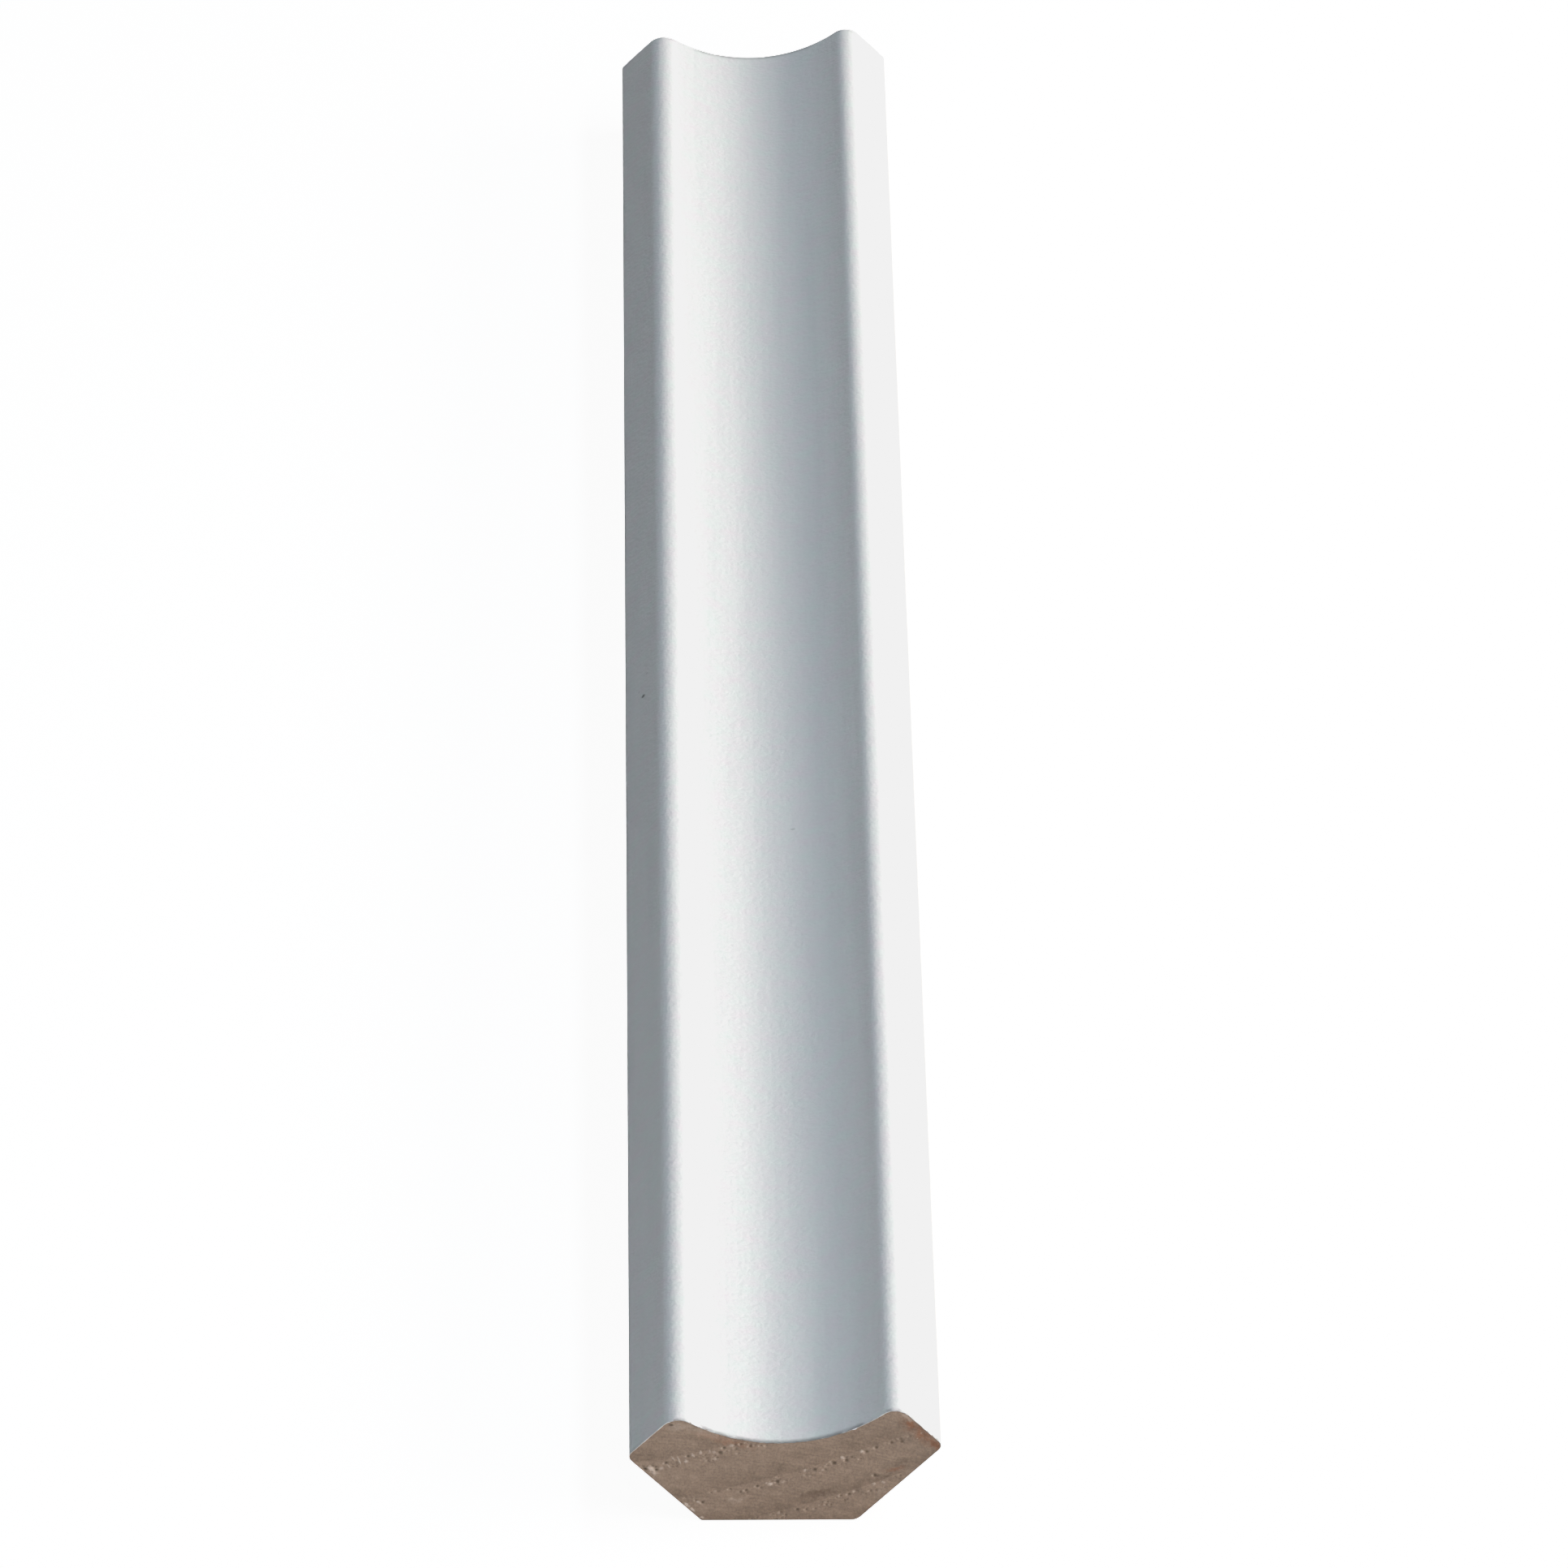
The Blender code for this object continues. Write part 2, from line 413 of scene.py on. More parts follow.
def millRunTree():
    values = mouldingValues
    tree = bpy.data.node_groups.new("millRun", "GeometryNodeTree")
    sockets = [
        ("Section Lines", "NodeSocketGeometry"), ("Length", "NodeSocketFloat"),
        ("Across Face", "NodeSocketInt"), ("Through Strip", "NodeSocketInt"),
        ("Stations", "NodeSocketInt"), ("Crowding", "NodeSocketFloat"),
        ("Wood Recess", "NodeSocketFloat"), ("Pore Depth", "NodeSocketFloat"),
        ("Saw Depth", "NodeSocketFloat"), ("Arris Wear", "NodeSocketFloat"),
        ("Arris Reach", "NodeSocketFloat"), ("Face Finish", "NodeSocketMaterial"),
        ("Back Finish", "NodeSocketMaterial"), ("Cut Finish", "NodeSocketMaterial"),
    ]
    for name, kind in sockets:
        tree.interface.new_socket(name, in_out="INPUT", socket_type=kind)
    tree.interface.new_socket("Strip", in_out="OUTPUT", socket_type="NodeSocketGeometry")
    given = tree.nodes.new("NodeGroupInput").outputs

    block = addNode(tree, "GeometryNodeMeshCube", {
        "Size": (1.0, 1.0, 1.0), "Vertices X": given["Across Face"],
        "Vertices Y": given["Stations"], "Vertices Z": given["Through Strip"]})
    feeds = {"Geometry": block.outputs["Mesh"]}
    start = addNode(tree, "GeometryNodeCaptureAttribute", feeds, domain="POINT")
    start.capture_items.new("VECTOR", "Block Place")
    fromCentre = tree.nodes.new("GeometryNodeInputPosition").outputs[0]
    fromCorner = vectorCalc(tree, "ADD", fromCentre, (0.5, 0.5, 0.5))
    tree.links.new(fromCorner, start.inputs["Block Place"])
    across, along, up = separate(tree, start.outputs["Block Place"])

    # each point of the section is drawn from the four sides together
    backLine, faceLine, ceilingLine, wallLine = range(4)

    def onSide(line, share):
        feeds = {"Curves": given["Section Lines"], "Factor": share, "Curve Index": line}
        sample = addNode(tree, "GeometryNodeSampleCurve", feeds, mode="FACTOR", use_all_curves=False)
        return sample.outputs["Position"]

    facePoint = onSide(faceLine, across)
    backPoint = onSide(backLine, across)
    backToFace = vectorBlend(tree, up, backPoint, facePoint)
    sideToSide = vectorBlend(tree, across, onSide(ceilingLine, up), onSide(wallLine, up))
    backCorners = vectorBlend(tree, across, onSide(backLine, 0.0), onSide(backLine, 1.0))
    tips = vectorBlend(tree, across, onSide(faceLine, 0.0), onSide(faceLine, 1.0))
    cornerShare = vectorBlend(tree, up, backCorners, tips)
    section = vectorCalc(tree, "SUBTRACT", vectorCalc(tree, "ADD", backToFace, sideToSide), cornerShare)

    # stations crowd towards both cuts
    fromMiddle = timesPlus(tree, along, 2.0, -1.0)
    toCut = inverted(tree, calc(tree, "ABSOLUTE", fromMiddle))
    crowded = inverted(tree, calc(tree, "POWER", toCut, given["Crowding"]))
    half = times(tree, given["Length"], 0.5)
    ahead = times(tree, calc(tree, "SIGN", fromMiddle), times(tree, half, crowded))
    fromCut = times(tree, half, calc(tree, "POWER", toCut, given["Crowding"]))
    clean = vectorCalc(tree, "ADD", section, combine(tree, 0.0, ahead, 0.0))

    # the cut: wood a little behind the film, pitted by pores, scored by the saw
    justShort = 0.9999
    onCut = calc(tree, "GREATER_THAN", calc(tree, "ABSOLUTE", fromMiddle), justShort)
    onFace = calc(tree, "GREATER_THAN", up, justShort)
    bare = times(tree, onCut, inverted(tree, onFace))
    grainSpot = sectionPlace(tree, clean)
    torn = calc(tree, "MAXIMUM", largePores(tree, grainSpot, values["poresWider"]),
                openVessels(tree, grainSpot, values["vesselPit"], values["vesselPitFloor"]))
    pits = times(tree, torn, given["Pore Depth"])
    scores = times(tree, sawMarks(tree, clean), given["Saw Depth"])
    sunk = calc(tree, "ADD", calc(tree, "ADD", pits, scores), given["Wood Recess"])
    inward = times(tree, times(tree, sunk, bare), calc(tree, "SIGN", fromMiddle))
    cutRelief = combine(tree, 0.0, times(tree, inward, -1.0), 0.0)

    # nicks along the painted arris
    nickNoise = ramp(tree, noise(tree, clean, values["nickScale"], detail=3.0), 0.50, 0.78)
    nearCut = ramp(tree, fromCut, given["Arris Reach"], 0.0)
    nick = times(tree, times(tree, nickNoise, nearCut), times(tree, onFace, given["Arris Wear"]))
    intoStrip = vectorCalc(tree, "NORMALIZE", vectorCalc(tree, "SUBTRACT", backPoint, facePoint))
    wear = scaled(tree, intoStrip, nick)
    worked = vectorCalc(tree, "ADD", clean, vectorCalc(tree, "ADD", cutRelief, wear))

    # distances that the finishes need
    def away(point):
        return vectorCalc(tree, "DISTANCE", section, point)

    belowFilm = away(facePoint)
    fromTip = calc(tree, "MINIMUM", away(onSide(faceLine, 0.0)), away(onSide(faceLine, 1.0)))
    fromBack = away(backPoint)
    fromBevels = calc(tree, "MINIMUM", away(onSide(ceilingLine, up)), away(onSide(wallLine, up)))
    fromRim = calc(tree, "MINIMUM", fromBack, fromBevels)
    block = start.outputs["Geometry"]
    for name, value in (("belowFilm", belowFilm), ("fromTip", fromTip), ("fromRim", fromRim)):
        feeds = {"Geometry": block, "Name": name, "Value": value}
        store = addNode(tree, "GeometryNodeStoreNamedAttribute", feeds, data_type="FLOAT", domain="POINT")
        block = store.outputs[0]
    pressed = addNode(tree, "GeometryNodeSetPosition", {"Geometry": block, "Position": worked}).outputs[0]
    smooth = addNode(tree, "GeometryNodeSetShadeSmooth", {"Geometry": pressed}).outputs[0]

    painted = addNode(tree, "GeometryNodeRealizeInstances", {"Geometry": smooth}).outputs[0]
    for finish, where in (("Back Finish", True), ("Face Finish", onFace), ("Cut Finish", onCut)):
        feeds = {"Geometry": painted, "Selection": where, "Material": given[finish]}
        painted = addNode(tree, "GeometryNodeSetMaterial", feeds).outputs[0]
    strip = tree.nodes.new("NodeGroupOutput")
    tree.links.new(painted, strip.inputs["Strip"])
    return tree


def makeMoulding(faceFinish, backFinish, cutFinish):
    values = mouldingValues
    lines = sectionLines(fourSides(sectionLoop("crown_moulding")))
    tree = millRunTree()
    run = lines.modifiers.new("millRun", "NODES")
    run.node_group = tree
    settings = {
        "Length": runLength, "Stations": values["stations"], "Crowding": values["crowding"],
        "Across Face": values["acrossFace"], "Through Strip": values["throughStrip"],
        "Wood Recess": values["woodRecess"], "Pore Depth": values["poreDepth"],
        "Saw Depth": values["sawDepth"], "Arris Wear": values["arrisWear"],
        "Arris Reach": values["arrisReach"], "Face Finish": faceFinish,
        "Back Finish": backFinish, "Cut Finish": cutFinish,
    }
    for item in tree.interface.items_tree:
        if item.name in settings:
            run[item.identifier] = settings[item.name]
    finished = lines.evaluated_get(bpy.context.evaluated_depsgraph_get())
    mesh = bpy.data.meshes.new_from_object(finished)
    mesh.name = "crownMouldingLength"
    bpy.data.objects.remove(lines)
    mesh.set_sharp_from_angle(angle=math.radians(35.0))
    moulding = bpy.data.objects.new("crown_moulding_length", mesh)
    bpy.context.scene.collection.objects.link(moulding)
    print("moulding meshed:", len(mesh.vertices), "vertices,", len(mesh.polygons), "faces")
    return moulding


# shader groups

def newGroup(name, inputs, outputs):
    tree = bpy.data.node_groups.new(name, "ShaderNodeTree")
    for socket, kind, value in inputs:
        made = tree.interface.new_socket(socket, in_out="INPUT", socket_type=kind)
        if value is not None:
            made.default_value = value
    for socket, kind in outputs:
        tree.interface.new_socket(socket, in_out="OUTPUT", socket_type=kind)
    return tree, tree.nodes.new("NodeGroupInput").outputs, tree.nodes.new("NodeGroupOutput")


def ringPorousWood():
    values = woodValues
    tree, given, result = newGroup("ringPorousWood", [
        ("Place", "NodeSocketVector", None),
        ("Wood", "NodeSocketColor", values["wood"]), ("Latewood", "NodeSocketColor", values["latewood"]),
        ("Stain", "NodeSocketColor", values["stain"]), ("Pore", "NodeSocketColor", values["pore"]),
        ("Pale Dust And Highlight", "NodeSocketColor", values["paleDustAndHighlight"]),
    ], [("Color", "NodeSocketColor"), ("Height", "NodeSocketFloat")])
    spot = sectionPlace(tree, given["Place"])
    y = times(tree, separate(tree, given["Place"])[1], 1 / mm)
    # stains and dust come and go along the length
    past = ramp(tree, calc(tree, "SUBTRACT", y, cadLow.y / mm), 3.0, 40.0)
    patchy = noise(tree, combine(tree, 7.0, y, 0.0), values["comeAndGoScale"], detail=2.0)
    patchy = ramp(tree, patchy, 0.40, 0.60)
    lasting = inverted(tree, times(tree, past, patchy))
    phase = calc(tree, "FRACT", ringCount(tree, spot))
    warped = jostled(tree, spot, values["patchWarpScale"], values["patchWarp"], dimensions="2D")

    # latewood darkens a little towards the next row of pores, more in the dark bands
    late = times(tree, ramp(tree, phase, 0.40, 0.95), ramp(tree, phase, 1.0, 0.96))
    blotch = noise(tree, spot, values["blotchScale"], detail=3.0, dimensions="2D")
    dark = times(tree, late, timesPlus(tree, blotch, 0.9, -0.10))
    bands = times(tree, softPatches(tree, warped, values["darkBands"]), values["bandStrength"])
    dark = calc(tree, "MAXIMUM", dark, bands)
    colour = colourBlend(tree, calc(tree, "MAXIMUM", dark, 0.0), given["Wood"], given["Latewood"])

    # reddish stain and dusted places, broken up
    broken = noise(tree, spot, values["brokenScale"], detail=3.0, roughness=0.6, dimensions="2D")
    broken = times(tree, timesPlus(tree, broken, 1.8, 0.05), lasting)
    for patches, shade in (("stains", "Stain"), ("pale", "Pale Dust And Highlight")):
        placed = times(tree, softPatches(tree, warped, values[patches]), broken, clamp=True)
        colour = colourBlend(tree, placed, colour, given[shade])

    # fibres: fine speckle over soft mottling
    fibre = noise(tree, spot, values["fibreScale"], detail=3.5, roughness=0.65, dimensions="2D")
    mottle = noise(tree, spot, values["mottleScale"], detail=2.0, dimensions="2D")
    brighter = timesPlus(tree, fibre, 0.76, 0.62)
    brighter = times(tree, brighter, timesPlus(tree, mottle, 0.40, 0.80))
    paler = timesPlus(tree, separate(tree, spot)[0], -values["ceilingPaler"], 1.0)
    colour = toned(tree, colour, times(tree, brighter, paler))

    # small pores everywhere; in the bands a painted highlight on the lit left rim of each large vessel, and
    # its dark mouth, partly painted shade in the open hole
    fineCell = values["finePoreCell"]
    distance, _, picks = poreCells(tree, spot, fineCell, values["finePoreShift"])
    fineRadius = timesPlus(tree, picks[1], 0.04, values["finePoreRadius"] * 0.7)
    fine = roundSpot(tree, distance, fineCell, fineRadius)
    fine = times(tree, fine, calc(tree, "LESS_THAN", picks[0], values["finePoreShare"]))
    colour = colourBlend(tree, times(tree, fine, values["finePoreStrength"]), colour, given["Pore"])
    beside = vectorCalc(tree, "ADD", spot, values["rimHighlightBeside"])
    torn = calc(tree, "MAXIMUM", largePores(tree, beside), openVessels(tree, beside, values["rimHighlightRadius"]))
    torn = times(tree, torn, ramp(tree, mottle, 0.32, 0.62))
    colour = colourBlend(tree, times(tree, torn, values["rimHighlightStrength"]), colour, given["Pale Dust And Highlight"])
    pores = times(tree, largePores(tree, spot), values["poreStrength"])
    vessels = times(tree, openVessels(tree, spot, values["vesselRadius"]), values["vesselStrength"])
    mouths = calc(tree, "MAXIMUM", pores, vessels)
    colour = colourBlend(tree, mouths, colour, given["Pore"])

    height = timesPlus(tree, fibre, values["fineRelief"], times(tree, mouths, -values["poreRelief"]))
    height = timesPlus(tree, fine, -values["fineRelief"], height)
    tree.links.new(colour, result.inputs["Color"])
    tree.links.new(height, result.inputs["Height"])
    return tree


# the primer; sizes and heights in millimetres
primerValues = {
    "colour": (0.800, 0.808, 0.812, 1.0),
    "shadeColour": (0.765, 0.775, 0.782, 1.0),
    "roughness": 0.46,
    "peelSize": 0.95,         # between the soft lumps left by the sprayer
    "peelHeight": 0.085,
    "dropSize": 0.38,         # and between the smaller drops that dried on top of them
    "dropHeight": 0.031,
    "hueScale": 0.30,
    "hueDrift": 0.050,        # how far patches of the film turn greenish or violet
    "mottleScale": 1.7,
    "mottle": 0.10,           # fine unevenness of its white
    "waveScale": 0.22,
    "waveHeight": 0.060,      # wider unevenness from planing and sanding
    "waveStretch": (1.0, 0.12, 1.0),
    "grainScale": 2.3,
    "grainHeight": 0.006,     # grain raised by the water in the primer
    "grainStretch": 0.035,
    "toothScale": 7.0,
    "toothHeight": 0.0018,
    "thinScale": 0.35,
    "thinStrength": 0.7,
}


def satinPrimer():
    values = primerValues
    tree, given, result = newGroup("satinPrimer", [
        ("Place", "NodeSocketVector", None),
        ("Film", "NodeSocketColor", values["colour"]),
        ("Thin Film", "NodeSocketColor", values["shadeColour"]),
    ], [("Color", "NodeSocketColor"), ("Roughness", "NodeSocketFloat"), ("Height", "NodeSocketFloat")])
    place = inMillimetres(tree, given["Place"])
    x, y, z = separate(tree, place)
    lengthwise = combine(tree, x, times(tree, y, values["grainStretch"]), z)

    thin = ramp(tree, noise(tree, lengthwise, values["thinScale"], detail=3.0), 0.40, 0.75)
    peel = noise(tree, place, 1 / values["peelSize"], detail=1.5)
    drops = noise(tree, place, 1 / values["dropSize"], detail=1.0)
    stretched = vectorCalc(tree, "MULTIPLY", place, values["waveStretch"])
    wave = noise(tree, stretched, values["waveScale"], detail=1.5)
    raised = noise(tree, lengthwise, values["grainScale"], detail=3.0, roughness=0.6)
    tooth = noise(tree, place, values["toothScale"], detail=2.0)
    colour = colourBlend(tree, times(tree, thin, values["thinStrength"]), given["Film"], given["Thin Film"])
    # wide soft patches lean to green or to violet
    turn = noise(tree, place, values["hueScale"], detail=2.0)
    turn = times(tree, centred(tree, turn), values["hueDrift"] * 4)
    fleck = noise(tree, place, values["mottleScale"], detail=3.0, roughness=0.7)
    even = timesPlus(tree, centred(tree, fleck), values["mottle"], 1.0)
    tint = combine(tree, timesPlus(tree, turn, -0.5, even), timesPlus(tree, turn, 0.5, even), even)
    colour = tinted(tree, colour, tint)
    rough = timesPlus(tree, peel, 0.10, values["roughness"] - 0.05)

    height = times(tree, peel, values["peelHeight"])
    height = timesPlus(tree, drops, values["dropHeight"], height)
    height = timesPlus(tree, wave, values["waveHeight"], height)
    height = timesPlus(tree, raised, values["grainHeight"], height)
    height = timesPlus(tree, tooth, values["toothHeight"], height)
    tree.links.new(colour, result.inputs["Color"])
    tree.links.new(rough, result.inputs["Roughness"])
    tree.links.new(height, result.inputs["Height"])
    return tree


# finishes

finishValues = {
    "ior": 1.48,
    "filmHeight": 0.03,       # mm that the primer stands above the wood
    "patchScale": 0.45,       # patches where the film's edge held, the same on the face and on the cuts
    "tornCove": 10.0,         # nearer to the middle than this, in mm, most of that edge is torn off
    "tornBlend": 3.0,
}


def newFinish(name):
    material = bpy.data.materials.new(name)
    material.use_nodes = True
    tree = material.node_tree
    shader = tree.nodes["Principled BSDF"]
    shader.inputs["Metallic"].default_value = 0.0
    shader.inputs["IOR"].default_value = finishValues["ior"]
    place = tree.nodes.new("ShaderNodeTexCoord").outputs["Object"]
    return material, tree, shader, place


def useGroup(tree, group, place):
    made = tree.nodes.new("ShaderNodeGroup")
    made.node_tree = group
    tree.links.new(place, made.inputs["Place"])
    return made.outputs


def dress(tree, shader, colour, rough, height):
    # heights are in mm
    tree.links.new(colour, shader.inputs["Base Color"])
    tree.links.new(rough, shader.inputs["Roughness"])
    bump = addNode(tree, "ShaderNodeBump", {"Strength": 1.0, "Distance": mm, "Height": height})
    tree.links.new(bump.outputs[0], shader.inputs["Normal"])


def noted(tree, name):
    # a distance stored on the mesh, in mm
    made = addNode(tree, "ShaderNodeAttribute", attribute_name=name)
    return times(tree, made.outputs["Fac"], 1 / mm)


def coverWood(tree, cover, wood, primer, woodRough):
    colour = colourBlend(tree, cover, wood["Color"], primer["Color"])
    rough = timesPlus(tree, cover, calc(tree, "SUBTRACT", primer["Roughness"], woodRough), woodRough)
    bareHeight = times(tree, wood["Height"], inverted(tree, cover))
    filmTop = calc(tree, "ADD", primer["Height"], finishValues["filmHeight"])
    height = timesPlus(tree, cover, filmTop, bareHeight)
    return colour, rough, height


def patchNoise(tree, spot):
    return noise(tree, spot, finishValues["patchScale"], detail=3.0)


def filmEdgeLeft(tree, spot, patchy):
    # how much of the film's edge is left at the cuts: most of it on the front edges, little in the cove
    sideways = calc(tree, "ABSOLUTE", separate(tree, spot)[0])
    middle, blend = finishValues["tornCove"], finishValues["tornBlend"]
    kept = ramp(tree, sideways, middle - blend, middle + blend)
    return timesPlus(tree, centred(tree, patchy), 2.2, timesPlus(tree, kept, 0.75, 0.12), clamp=True)


# the painted face, in millimetres
faceValues = {
    "raggedScale": 2.2,
    "chipReach": 0.22,        # how far the deepest chips run in from a cut
    "chipRoughness": 0.7,
    "cutEdgeShade": 0.42,         # painted shade: how much darker the torn film is right at the cut
    "cutEdgeShadeReach": 1.5,
    "cutEdgeShadeFade": 2.2,
    "lipShade": 0.46,          # and painted shade on the last of it, broken and greyer still
    "lipReach": 1.25,
    # painted shade is weaker along the far cut
    "farCutLessShade": 0.7,
    # marks: x, y, half width, half length, how much darker (less than nought is lighter)
    "marks": [
        (-19.72, -4.0, 0.34, 0.60, 0.75), (3.40, -46.3, 0.55, 0.30, 0.30),
        (-1.55, 187.5, 0.50, 0.90, -0.10), (-19.10, 2.5, 0.18, 0.30, 0.25),
        (-20.40, -1.5, 0.16, 0.30, 0.20),
    ],
    "speck": ((0.05, 0.05, 0.048, 1.0), -0.08),    # colour and height
    "scratch": ((0.95, 0.93, 0.92, 1.0), 0.06),
}


def makeFaceFinish(primer):
    values = faceValues
    material, tree, shader, place = newFinish("primedFace")
    film = useGroup(tree, primer, place)
    inMm = inMillimetres(tree, place)
    x, y, _ = separate(tree, inMm)
    # right at the saw cuts the film is chipped here and there, and painted shade greys it where its edge is
    # torn
    fromCut = calc(tree, "SUBTRACT", runLength / 2 / mm, calc(tree, "ABSOLUTE", y))
    ragged = noise(tree, inMm, values["raggedScale"], detail=3.0)
    torn = inverted(tree, filmEdgeLeft(tree, inMm, patchNoise(tree, inMm)))
    nearCut = ramp(tree, fromCut, values["cutEdgeShadeReach"], 0.0, "LINEAR")
    nearCut = calc(tree, "POWER", nearCut, values["cutEdgeShadeFade"])
    edgeShading = times(tree, times(tree, torn, nearCut), timesPlus(tree, ragged, 0.8, 0.6))
    tone = timesPlus(tree, edgeShading, -values["cutEdgeShade"], 1.0)
    # a broken band of painted shade on the last of the film at the cut
    lipEdge = timesPlus(tree, ragged, 0.5, fromCut)
    lip = times(tree, ramp(tree, lipEdge, values["lipReach"] + 0.25, 0.30), ramp(tree, torn, 0.15, 0.70))
    onFarHalf = calc(tree, "GREATER_THAN", y, 0.0)
    lip = times(tree, lip, timesPlus(tree, onFarHalf, -values["farCutLessShade"], 1.0))
    tone = times(tree, tone, timesPlus(tree, lip, -values["lipShade"], 1.0))
    shadedFilm = {"Color": toned(tree, film["Color"], tone),
                 "Roughness": film["Roughness"], "Height": film["Height"]}
    bite = times(tree, ramp(tree, ragged, 0.52, 0.80), values["chipReach"])
    cover = ramp(tree, calc(tree, "SUBTRACT", fromCut, bite), -0.02, 0.04)
    bare = {"Color": woodValues["wood"], "Height": 0.0}
    colour, rough, height = coverWood(tree, cover, bare, shadedFilm, values["chipRoughness"])

    # a few specks and a short scratch
    flat = combine(tree, x, y, 0.0)
    for markX, markY, halfWide, halfLong, darker in values["marks"]:
        mark = softPatches(tree, flat, [(markX, markY, halfWide, halfLong, 0, abs(darker))], inner=0.45)
        shade, rise = values["speck"] if darker > 0 else values["scratch"]
        colour = colourBlend(tree, mark, colour, shade)
        height = timesPlus(tree, mark, rise, height)
    dress(tree, shader, colour, rough, height)
    return material


# the planed back and bevels, in millimetres
backValues = {
    "roughness": 0.62,
    "oversprayReach": 3.6,
    "driftScale": 0.05,       # where along the strip it reaches further
    "mistScale": 1.5,
    "mistPull": 1.8,
    "streakStretch": (1.3, 0.05, 1.3),
    "streakPull": 0.8,
}


def makeBackFinish(wood, primer):
    values = backValues
    material, tree, shader, place = newFinish("planedBack")
    film = useGroup(tree, primer, place)
    bare = useGroup(tree, wood, place)
    inMm = inMillimetres(tree, place)
    # overspray from the face thins out down each bevel, in streaks along the grain and specks
    drift = noise(tree, inMm, values["driftScale"], detail=4.0, roughness=0.6)
    mist = noise(tree, inMm, values["mistScale"], detail=3.0, roughness=0.7)
    alongGrain = vectorCalc(tree, "MULTIPLY", inMm, values["streakStretch"])
    streaks = noise(tree, alongGrain, 1.0, detail=3.0)
    reach = times(tree, timesPlus(tree, drift, 2.0, -0.1), values["oversprayReach"])
    laid = timesPlus(tree, mist, values["mistPull"], timesPlus(tree, streaks, values["streakPull"], -0.6))
    laid = calc(tree, "SUBTRACT", laid, calc(tree, "DIVIDE", noted(tree, "fromTip"), reach))
    cover = ramp(tree, laid, -0.05, 0.50)
    dress(tree, shader, *coverWood(tree, cover, bare, film, values["roughness"]))
    return material


# what shows on the two cuts, in millimetres
cutValues = {
    "roughness": 0.8,
    "raggedScale": 3.2,
    "filmThickness": 0.13,
    "filmRagged": 0.24,
    "fuzzShadeReach": 0.26,        # painted shade and darker broken fibres just inside the film
    "rimShadeReach": 0.20,         # and painted shade along the bare edges, where they round away from the light
    "fuzzAndEdgeShade": 0.34,
    "splinterScale": 2.4,
    "splinterReach": 0.45,    # how far the outlines of the pale chips are pulled about
    "chipColour": (0.640, 0.520, 0.440, 1.0),
    "chipRelief": 0.08,
    "pitStrength": 0.85,
    "pitRelief": 0.12,
    "scoreRelief": 0.025,

    # on the near cut only: x, z, half length, half height, slope in degrees, strength
    "paleChips": [
        (-14.2, 2.6, 0.70, 0.34, -45, 1.0), (-13.4, 1.8, 0.70, 0.30, -45, 0.9),
        (-12.0, 0.4, 0.50, 0.30, -20, 0.7), (-19.4, 8.7, 0.75, 0.36, -35, 0.9),
        (-19.1, 8.0, 0.50, 0.32, -20, 0.5), (-17.9, 8.8, 0.50, 0.45, 0, 0.4),
        (-15.3, 10.1, 0.95, 0.24, -72, 0.55), (-16.2, 10.4, 0.70, 0.22, -50, 0.40),
        (-16.9, 9.2, 0.65, 0.20, -45, 0.35), (-14.3, 10.0, 0.45, 0.38, -60, 0.65),
        (-13.3, 11.0, 0.55, 0.30, -50, 0.50), (-12.2, 11.4, 0.50, 0.32, 90, 0.60),
        (-10.9, 11.6, 0.60, 0.22, 90, 0.45), (-10.3, 11.5, 0.40, 0.35, 0, 0.40),
        (-10.1, 10.3, 0.80, 0.22, 5, 0.35), (-7.7, 12.6, 0.45, 0.35, 0, 0.50),
        (-2.1, 6.1, 0.55, 0.40, 0, 0.75), (-2.7, 6.3, 0.28, 0.30, 0, 0.40),
        (-0.3, 6.4, 0.50, 0.28, 0, 0.30), (2.9, 8.3, 0.45, 0.40, 20, 0.50),
        (8.3, 10.5, 0.42, 0.40, 0, 0.80), (11.1, 11.5, 0.46, 0.38, 0, 0.80),
        (12.9, 6.0, 0.42, 0.36, 0, 0.50), (14.2, 6.3, 0.45, 0.30, 0, 0.45),
        (9.9, 4.7, 0.40, 0.32, 0, 0.40), (-12.6, 3.1, 0.35, 0.25, 0, 0.70),
    ],
    # dark pits, partly painted shade in the open holes
    "darkPits": [
        (-16.5, 16.1, 0.50, 0.34, -10, 0.9), (-20.3, 8.7, 0.45, 0.30, -40, 0.8),
        (-15.6, 9.6, 0.70, 0.35, -65, 0.35), (-9.4, 11.3, 0.65, 0.60, 0, 0.35),
        (-7.1, 12.8, 0.45, 0.30, 0, 0.45), (-7.1, 11.9, 0.40, 0.30, 0, 0.30),
        (-1.2, 6.6, 0.70, 0.26, 15, 0.60), (4.2, 8.5, 0.60, 0.38, 20, 0.45),
        (7.0, 9.6, 0.70, 0.42, 15, 0.50), (8.8, 9.9, 0.40, 0.30, 0, 0.40),
        (5.5, 9.4, 0.55, 0.35, 0, 0.30), (13.2, 7.4, 0.70, 0.30, 5, 0.50),
        (14.6, 7.3, 0.60, 0.28, 5, 0.50),
    ],
    # one place where the film hangs over the cut, and how much thicker it is there
    "filmNib": (10.0, 15.5, 0.55, 0.55, 0, 1.0),
    "nibThickness": 0.30,
}


